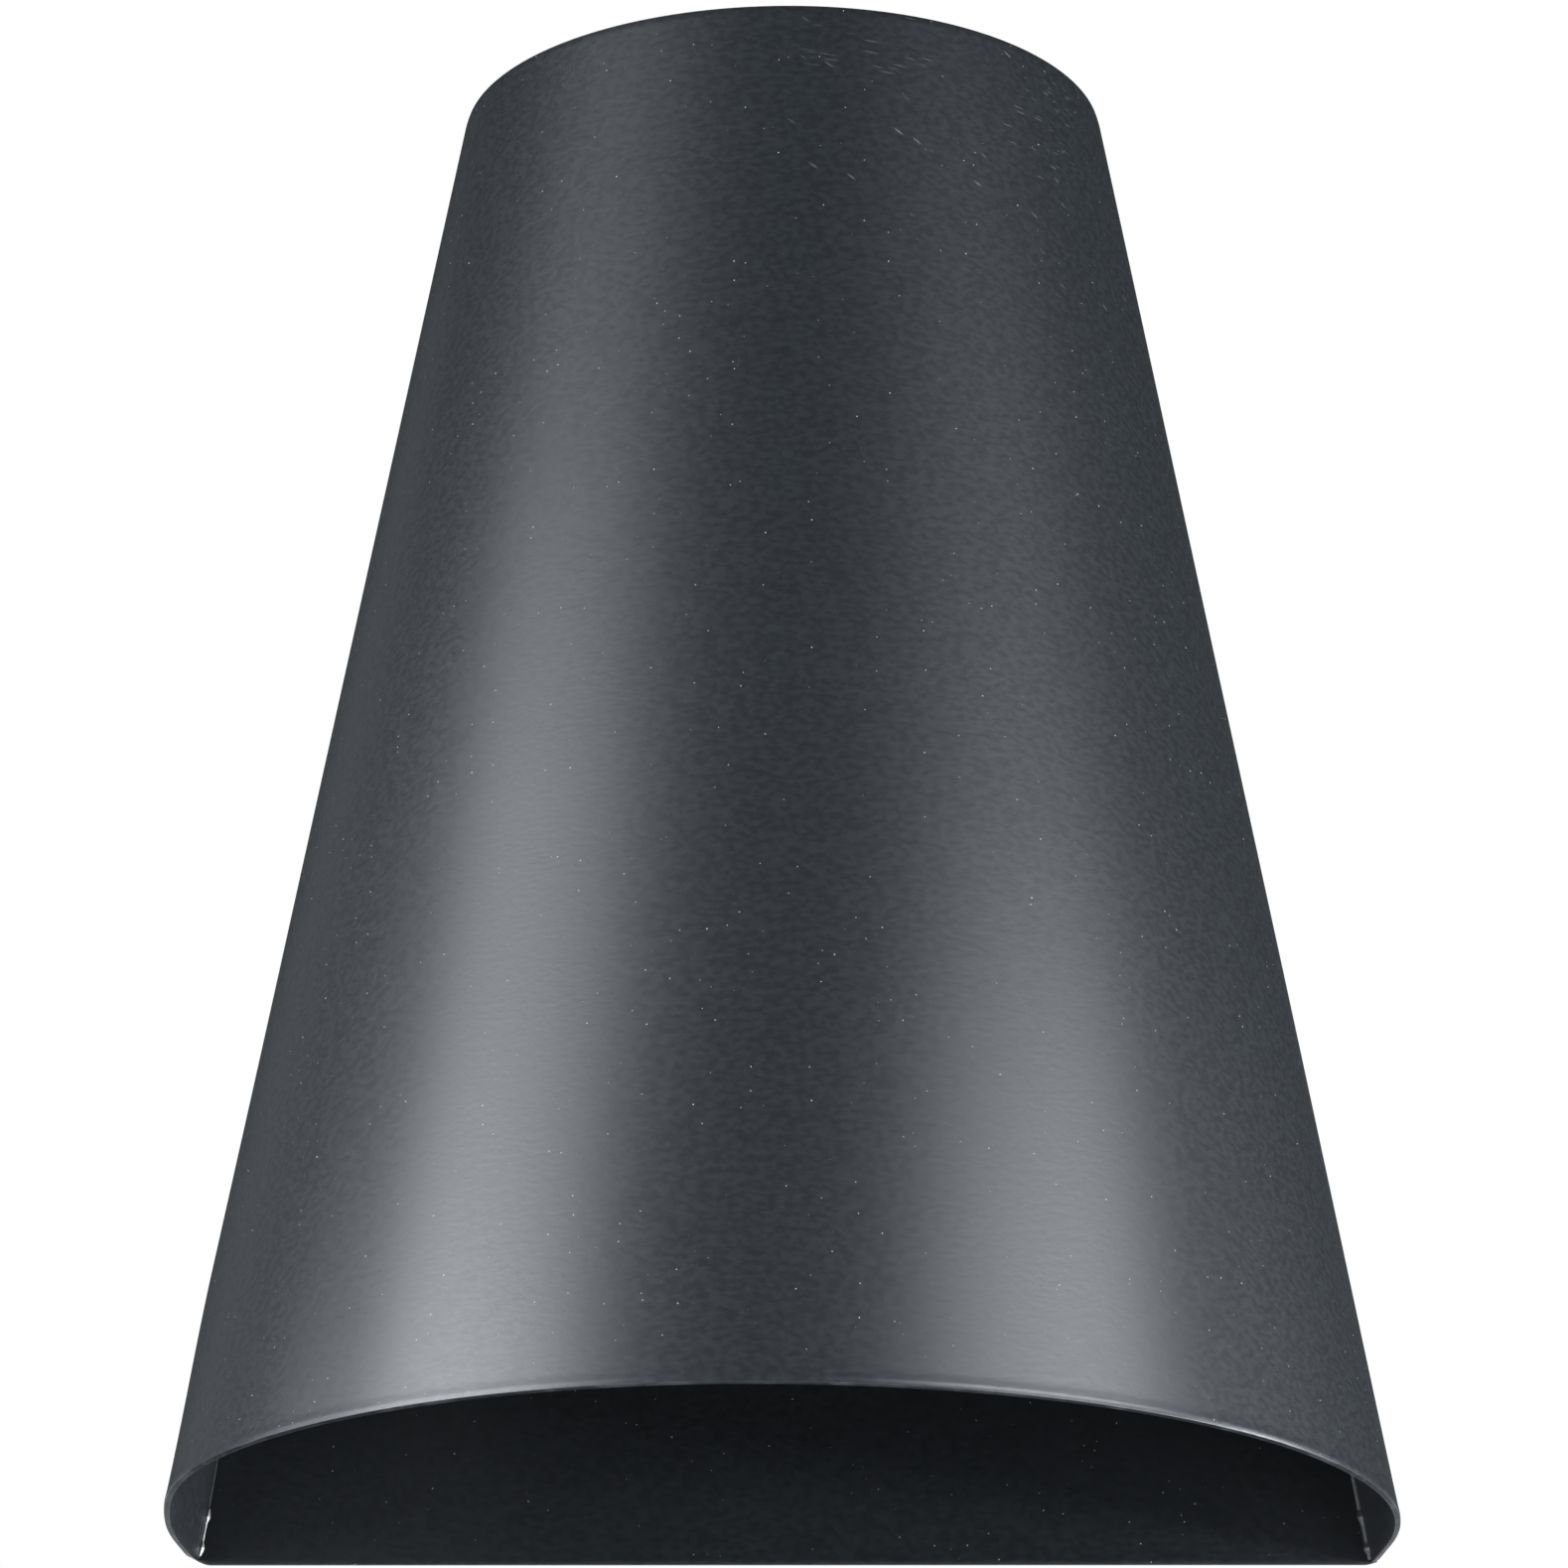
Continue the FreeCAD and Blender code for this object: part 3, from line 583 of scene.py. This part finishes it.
def make_rivets():
    """Rivets with a domed head inside the doubler and a flush one in the panel, a mesh each."""
    low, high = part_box("hanger_plate")
    dome_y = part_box("hanger_rivets")[0].y
    corners = [(0, dome_y), (RIVET_HEAD * 0.62, dome_y + 0.12 * RIVET_DOME),
               (RIVET_HEAD, low.y - 0.25 * RIVET_DOME), (RIVET_HEAD, low.y),
               (RIVET_SHANK, low.y), (RIVET_SHANK, -RIVET_SINK), (RIVET_FLUSH, 0),
               (0.35 * MM, 0), (0, -0.2 * MM)]
    radii = [0, 1.6 * MM, 0.3 * MM, 0, 0, 0, 0.12 * MM, 0.1 * MM, 0]
    outline = rounded(corners, radii)
    places = [(x, z) for x in (low.x + RIVET_INSET, high.x - RIVET_INSET)
              for z in (low.z + RIVET_INSET, high.z - RIVET_INSET)]
    for number, (x, z) in enumerate(places, start=1):
        mesh = turned(f"rivet_{number}", outline, 40, [powder_coat], x=x, z=z, closed=False)
        rivet = add_piece(f"rivet_{number}", mesh, "hood", "powder_coat")
        if number == 1:
            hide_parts("hanger_rivets")


make_rivets()


# ---- stitch welds ----------------------------------------------------------------------------

WELD_RUN = 13.5 * MM
WELD_MARGIN = 0.9 * MM
WELD_COUNT = 7
WELD_LEG = 1.15 * MM
# Leg in the middle of a stitch on each side, where the torch moved faster on the left
WELD_MIDDLE = {-1: 0.5 * MM, 1: 0.7 * MM}
WELD_CROWN = {-1: 0.45, 1: 0.12}
WELD_SECTIONS = 48
CROWN_POINTS = 9
# Start and stop of a stitch, where the torch dwelt, as shares of its run
DWELL = 0.27
WELD_TAPER = 0.2
# Coat that ran into the corner between the stitches
COVE_LEG = {-1: 0.26 * MM, 1: 0.65 * MM}
COVE_CROWN = -0.05
COVE_SECTIONS = 160


def stitch_leg(share, side, draw):
    """Leg of the fillet along one stitch: thick where the torch dwelt, thin between."""
    end = min(share, 1 - share)
    thick = 1 / (1 + math.exp((end - DWELL) * 40))
    taper = min(1.0, end / WELD_TAPER + 0.02) ** 0.6
    uneven = 1 + 0.07 * math.sin(9 * share + draw)
    return taper * uneven * (WELD_MIDDLE[side] + thick * (WELD_LEG - WELD_MIDDLE[side]))


def fillet_ring(bm, side, z, leg, crown):
    """One section of a fillet in the corner between wall and panel."""
    corner = wall_point(side, GAUGE, z)
    on_panel = corner + Vector((-side * leg, 0, 0))
    on_wall = corner + Vector((side * leg * math.tan(ARC_OVERRUN), -leg, 0))
    outward = Vector((-side, -1, 0)).normalized()
    bulge = (on_panel + on_wall) / 2 + outward * leg * crown
    ring = [bm.verts.new(dressed(corner))]
    for step in range(CROWN_POINTS):
        t = step / (CROWN_POINTS - 1)
        point = on_panel * (1 - t) ** 2 + bulge * (2 * t * (1 - t)) + on_wall * t ** 2
        ring.append(bm.verts.new(dressed(point)))
    return ring


def add_fillet(bm, rings, chipped=False):
    """Skin the rings; a chipped fillet shows bare steel along its crown."""
    count = CROWN_POINTS + 1
    middle = CROWN_POINTS // 2 + 1
    for number, (here, there) in enumerate(zip(rings, rings[1:])):
        for k in range(count):
            following = (k + 1) % count
            face = bm.faces.new((here[k], here[following], there[following], there[k]))
            if chipped and 2 <= number <= len(rings) - 4 and abs(k + 0.5 - middle) < 2:
                face.material_index = 1
    for ring in (rings[0], rings[-1]):
        bm.faces.new(ring)


def make_seam(name, node, side):
    """A side's stitches and the cove of coat that joins them; the lowest left one is chipped."""
    bm = bmesh.new()
    draws = random.Random(name)
    pitch = (TOP_Z - MOUTH_Z - 2 * WELD_MARGIN - WELD_RUN) / (WELD_COUNT - 1)
    for number in range(WELD_COUNT):
        start = MOUTH_Z + WELD_MARGIN + number * pitch
        draw = draws.uniform(0, 2 * math.pi)
        rings = []
        for section in range(WELD_SECTIONS + 1):
            share = section / WELD_SECTIONS
            leg = stitch_leg(share, side, draw)
            rings.append(fillet_ring(bm, side, start + share * WELD_RUN, leg,
                                     WELD_CROWN[side]))
        add_fillet(bm, rings, side < 0 and number == 0)
    low = MOUTH_Z + WELD_MARGIN
    high = TOP_Z - WELD_MARGIN
    heights = [low + (high - low) * step / COVE_SECTIONS for step in range(COVE_SECTIONS + 1)]
    add_fillet(bm, [fillet_ring(bm, side, z, COVE_LEG[side], COVE_CROWN) for z in heights])
    mesh = finished(bm, name, [powder_coat, bare_steel])
    add_piece(name, mesh, "hood", "powder_coat", node)


make_seam("left_stitches", "left_seam_welds", -1)
make_seam("right_stitches", "right_seam_welds", 1)


# ---- lock screw ------------------------------------------------------------------------------

THREAD_PITCH = 1.0 * MM
THREAD_DEPTH = 0.6 * MM
THREAD_ROWS = 10
BUSH_BORE = 3.05 * MM
BUSH_SPIGOT = 4.5 * MM
WASHER_BORE = 2.28 * MM
NECK_RADIUS = 2.2 * MM
NOSE_RADIUS = 2.5 * MM


def node_radius(node):
    low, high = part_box(node)
    return (high.x - low.x) / 2


def make_bush():
    low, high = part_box("lock_bush")
    barrel = node_radius("lock_bush")
    corners = [(BUSH_BORE, high.y), (BUSH_SPIGOT, high.y), (BUSH_SPIGOT, panel_low.y),
               (barrel, panel_low.y), (barrel, low.y), (BUSH_BORE, low.y)]
    radii = [0.3 * MM, 0.15 * MM, 0, 0.5 * MM, 0.6 * MM, 0.4 * MM]
    mesh = turned("bush_turning", rounded(corners, radii), 96, [zinc])
    add_piece("bush_turning", mesh, "hood", "zinc_plate", "lock_bush")


def make_washer():
    low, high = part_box("lock_washer")
    outer = node_radius("lock_washer")
    corners = [(WASHER_BORE, high.y), (outer, high.y), (outer, low.y), (WASHER_BORE, low.y)]
    radii = [0.1 * MM, 0.15 * MM, 0.5 * MM, 0.3 * MM]
    mesh = turned("washer_stamping", rounded(corners, radii), 96, [zinc])
    add_piece("washer_stamping", mesh, "washer", "zinc_plate", "lock_washer")


def thread_radius(radius, y, angle):
    """The thread's crest is at the given radius; its flanks run in a right-hand helix."""
    if radius < THREAD_CREST or not THREAD_FROM < y < THREAD_TO:
        return radius
    phase = (y / THREAD_PITCH + angle / (2 * math.pi)) % 1
    wave = abs(2 * phase - 1)
    flank = min(1.0, max(0.0, (wave - 0.12) / 0.72))
    run_in = min(1.0, (y - THREAD_FROM) / THREAD_PITCH, (THREAD_TO - y) / THREAD_PITCH)
    return radius - THREAD_DEPTH * flank * run_in


STUD_LOW, STUD_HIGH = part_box("lock_stud")
THREAD_CREST = node_radius("lock_stud") - 0.01 * MM
THREAD_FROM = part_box("lock_bush")[0].y + 0.2 * MM
THREAD_TO = 0.0
NOSE_CHAMFER = 0.8 * MM
NOSE_BLUNT = 0.1 * MM
NECK_FLARE = 0.1 * MM


def make_stud():
    crest = node_radius("lock_stud")
    neck = NECK_RADIUS
    nose = NOSE_RADIUS
    knob_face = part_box("lock_knob")[1].y
    outline = [(0, STUD_LOW.y), (crest, STUD_LOW.y), (crest, knob_face - 0.3 * MM),
               (neck, knob_face), (neck, THREAD_FROM - NECK_FLARE), (crest - 0.3 * MM, THREAD_FROM)]
    rows = int((THREAD_TO - THREAD_FROM) / THREAD_PITCH * THREAD_ROWS)
    step = (THREAD_TO - THREAD_FROM) / rows
    outline += [(crest, THREAD_FROM + step * row) for row in range(1, rows)]
    outline += [(nose, THREAD_TO), (nose, STUD_HIGH.y - NOSE_CHAMFER + NOSE_BLUNT)]
    outline += [(nose - NOSE_CHAMFER, STUD_HIGH.y), (0, STUD_HIGH.y)]
    mesh = turned("stud_turning", outline, 60, [zinc], shape=thread_radius, closed=False)
    add_piece("stud_turning", mesh, "knob", "zinc_plate", "lock_stud")


LOBES = 6
SCALLOP_RADIUS = 5.5 * MM
SCALLOP_CENTRE = 16.5 * MM
SCALLOP_BLEND = 0.6 * MM
HUB_RADIUS = 8 * MM
HUB_LENGTH = 3 * MM
KNOB_BEVEL = 3 * MM
DISH_RADIUS = 7 * MM
DISH_DEPTH = 0.5 * MM


def scalloped(radius, y, angle):
    """The turned radius, cut back smoothly by the nearest finger scallop."""
    pitch = 2 * math.pi / LOBES
    off = abs((angle + pitch / 2) % pitch - pitch / 2)
    across = SCALLOP_CENTRE * math.sin(off)
    if across >= SCALLOP_RADIUS:
        gap = SCALLOP_CENTRE * math.cos(off) + (across - SCALLOP_RADIUS)
    else:
        gap = SCALLOP_CENTRE * math.cos(off) - math.sqrt(SCALLOP_RADIUS ** 2 - across ** 2)
    soft = max(0.0, SCALLOP_BLEND - abs(radius - gap)) / SCALLOP_BLEND
    return min(radius, gap) - soft ** 2 * SCALLOP_BLEND / 4


def make_knob():
    low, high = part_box("lock_knob")
    head = node_radius("lock_knob")
    hub_end = high.y - HUB_LENGTH
    shoulder = low.y + KNOB_BEVEL
    dish = low.y + DISH_DEPTH
    corners = [(node_radius("lock_stud"), high.y), (HUB_RADIUS, high.y), (HUB_RADIUS, hub_end),
               (head, hub_end), (head, shoulder), (head - KNOB_BEVEL, low.y),
               (DISH_RADIUS + DISH_DEPTH, low.y), (DISH_RADIUS, dish), (0, dish)]
    radii = [0, 0.4 * MM, 0.5 * MM, 0.9 * MM, 1.4 * MM, 1.4 * MM, 0.2 * MM, 0.2 * MM, 0]
    outline = rounded(corners, radii, 5)
    mesh = turned("knob_moulding", outline, 240, [plastic], shape=scalloped, closed=False)
    add_piece("knob_moulding", mesh, "knob", "knob_plastic", "lock_knob")


make_bush()
make_washer()
make_stud()
make_knob()


# ---- camera ----------------------------------------------------------------------------------

CAMERA_PLACE = Vector((13 * MM, -1.7779, MOUTH_Z - 391.6 * MM))
CAMERA_PITCH = math.radians(18.506)
CAMERA_YAW = math.radians(-0.407)
CAMERA_ROLL = math.radians(0.07)
CAMERA_LENS = 168.31


def make_camera():
    camera = bpy.data.objects.new("camera", bpy.data.cameras.new("camera"))
    scene.collection.objects.link(camera)
    forward = Vector((math.sin(CAMERA_YAW) * math.cos(CAMERA_PITCH),
                      math.cos(CAMERA_YAW) * math.cos(CAMERA_PITCH), math.sin(CAMERA_PITCH)))
    right = Vector((math.cos(CAMERA_YAW), -math.sin(CAMERA_YAW), 0))
    up = right.cross(forward)
    turned_right = math.cos(CAMERA_ROLL) * right + math.sin(CAMERA_ROLL) * up
    turned_up = math.cos(CAMERA_ROLL) * up - math.sin(CAMERA_ROLL) * right
    axes = Matrix((turned_right, turned_up, -forward)).transposed()
    camera.matrix_world = Matrix.Translation(CAMERA_PLACE) @ axes.to_4x4()
    camera.data.lens = CAMERA_LENS
    camera.data.sensor_width = 36
    camera.data.clip_end = 100
    scene.camera = camera


make_camera()


# ---- light, background and floor -------------------------------------------------------------

HOOD_MIDDLE = Vector((0, -90 * MM, (MOUTH_Z + TOP_Z) / 2))
LAMP_DISTANCE = 1.6
LAMP_TINT = (0.97, 1.0, 1.04)
FLOOR_Z = -3.0
FLOOR_RADIUS = 6.0
FLOOR_TONES = ((0.86, 0.86, 0.86, 1), (0.9, 0.9, 0.9, 1))


def add_softbox(name, azimuth, elevation, width, tall, brightness):
    """An area light that faces the hood; azimuth 0 is in front of it and 90 to its right."""
    lamp = bpy.data.lights.new(name, "AREA")
    lamp.shape = "RECTANGLE"
    lamp.size = width
    lamp.size_y = tall
    lamp.energy = math.pi * width * tall * brightness
    lamp.color = LAMP_TINT
    box = bpy.data.objects.new(name, lamp)
    scene.collection.objects.link(box)
    turn = math.radians(azimuth)
    rise = math.radians(elevation)
    away = Vector((math.sin(turn) * math.cos(rise), -math.cos(turn) * math.cos(rise),
                   math.sin(rise)))
    box.location = HOOD_MIDDLE + away * LAMP_DISTANCE
    box.rotation_mode = "QUATERNION"
    box.rotation_quaternion = (-away).to_track_quat("-Z", "Y")
    box.visible_camera = False


def make_world():
    """White to the camera and black to everything else, so that only the lamps light the hood."""
    world = bpy.data.worlds.new("studio")
    scene.world = world
    world.use_nodes = True
    background = world.node_tree.nodes["Background"]
    seen = add_node(world, "ShaderNodeLightPath", {}).outputs["Is Camera Ray"]
    tone = mix_of(world, seen, (0, 0, 0, 1), (1, 1, 1, 1))
    plug(world, background.inputs["Color"], tone)


def make_floor():
    """A plain pale floor, far below the hung hood, that fades out into the background."""
    bm = bmesh.new()
    bmesh.ops.create_circle(bm, cap_ends=True, segments=96, radius=FLOOR_RADIUS)
    floor = bpy.data.objects.new("floor", finished(bm, "floor", []))
    floor.location.z = FLOOR_Z
    scene.collection.objects.link(floor)
    material, shader = new_material("floor_paint")
    place = object_place(material)
    tone = mix_of(material, noise_of(material, place, 0.5), *FLOOR_TONES)
    plug(material, shader.inputs["Base Color"], tone)
    shader.inputs["Roughness"].default_value = 0.8
    distance = add_node(material, "ShaderNodeVectorMath", {0: place}, operation="LENGTH").outputs[1]
    plug(material, shader.inputs["Alpha"], ramp(material, distance, 1.0, 5.5, 0.5, 0.0))
    floor.data.materials.append(material)
    floor.visible_glossy = False
    floor.visible_diffuse = False


add_softbox("left_softbox", -57.5, 8.9, 1.16, 1.53, 13.7)
add_softbox("right_softbox", 53.5, 19.5, 1.2, 0.3, 26.0)
add_softbox("left_edge_light", -95, -10, 0.3, 2.0, 6.0)
add_softbox("right_edge_light", 96.7, -21.5, 0.3, 1.77, 35.5)
add_softbox("low_right_strip", 56, -14, 0.5, 0.16, 60)
add_softbox("low_right_fill", 50, -32, 0.8, 0.8, 4.5)
add_softbox("low_left_fill", -50, -32, 0.8, 0.8, 3.2)
add_softbox("floor_bounce", 0, -88, 1.2, 1.2, 2.9)
add_softbox("backdrop", 180, -8, 2.6, 0.7, 0.95)
add_softbox("left_backdrop", -135, 0, 0.8, 2.0, 0.22)
make_world()
make_floor()
scene.view_settings.view_transform = "Standard"
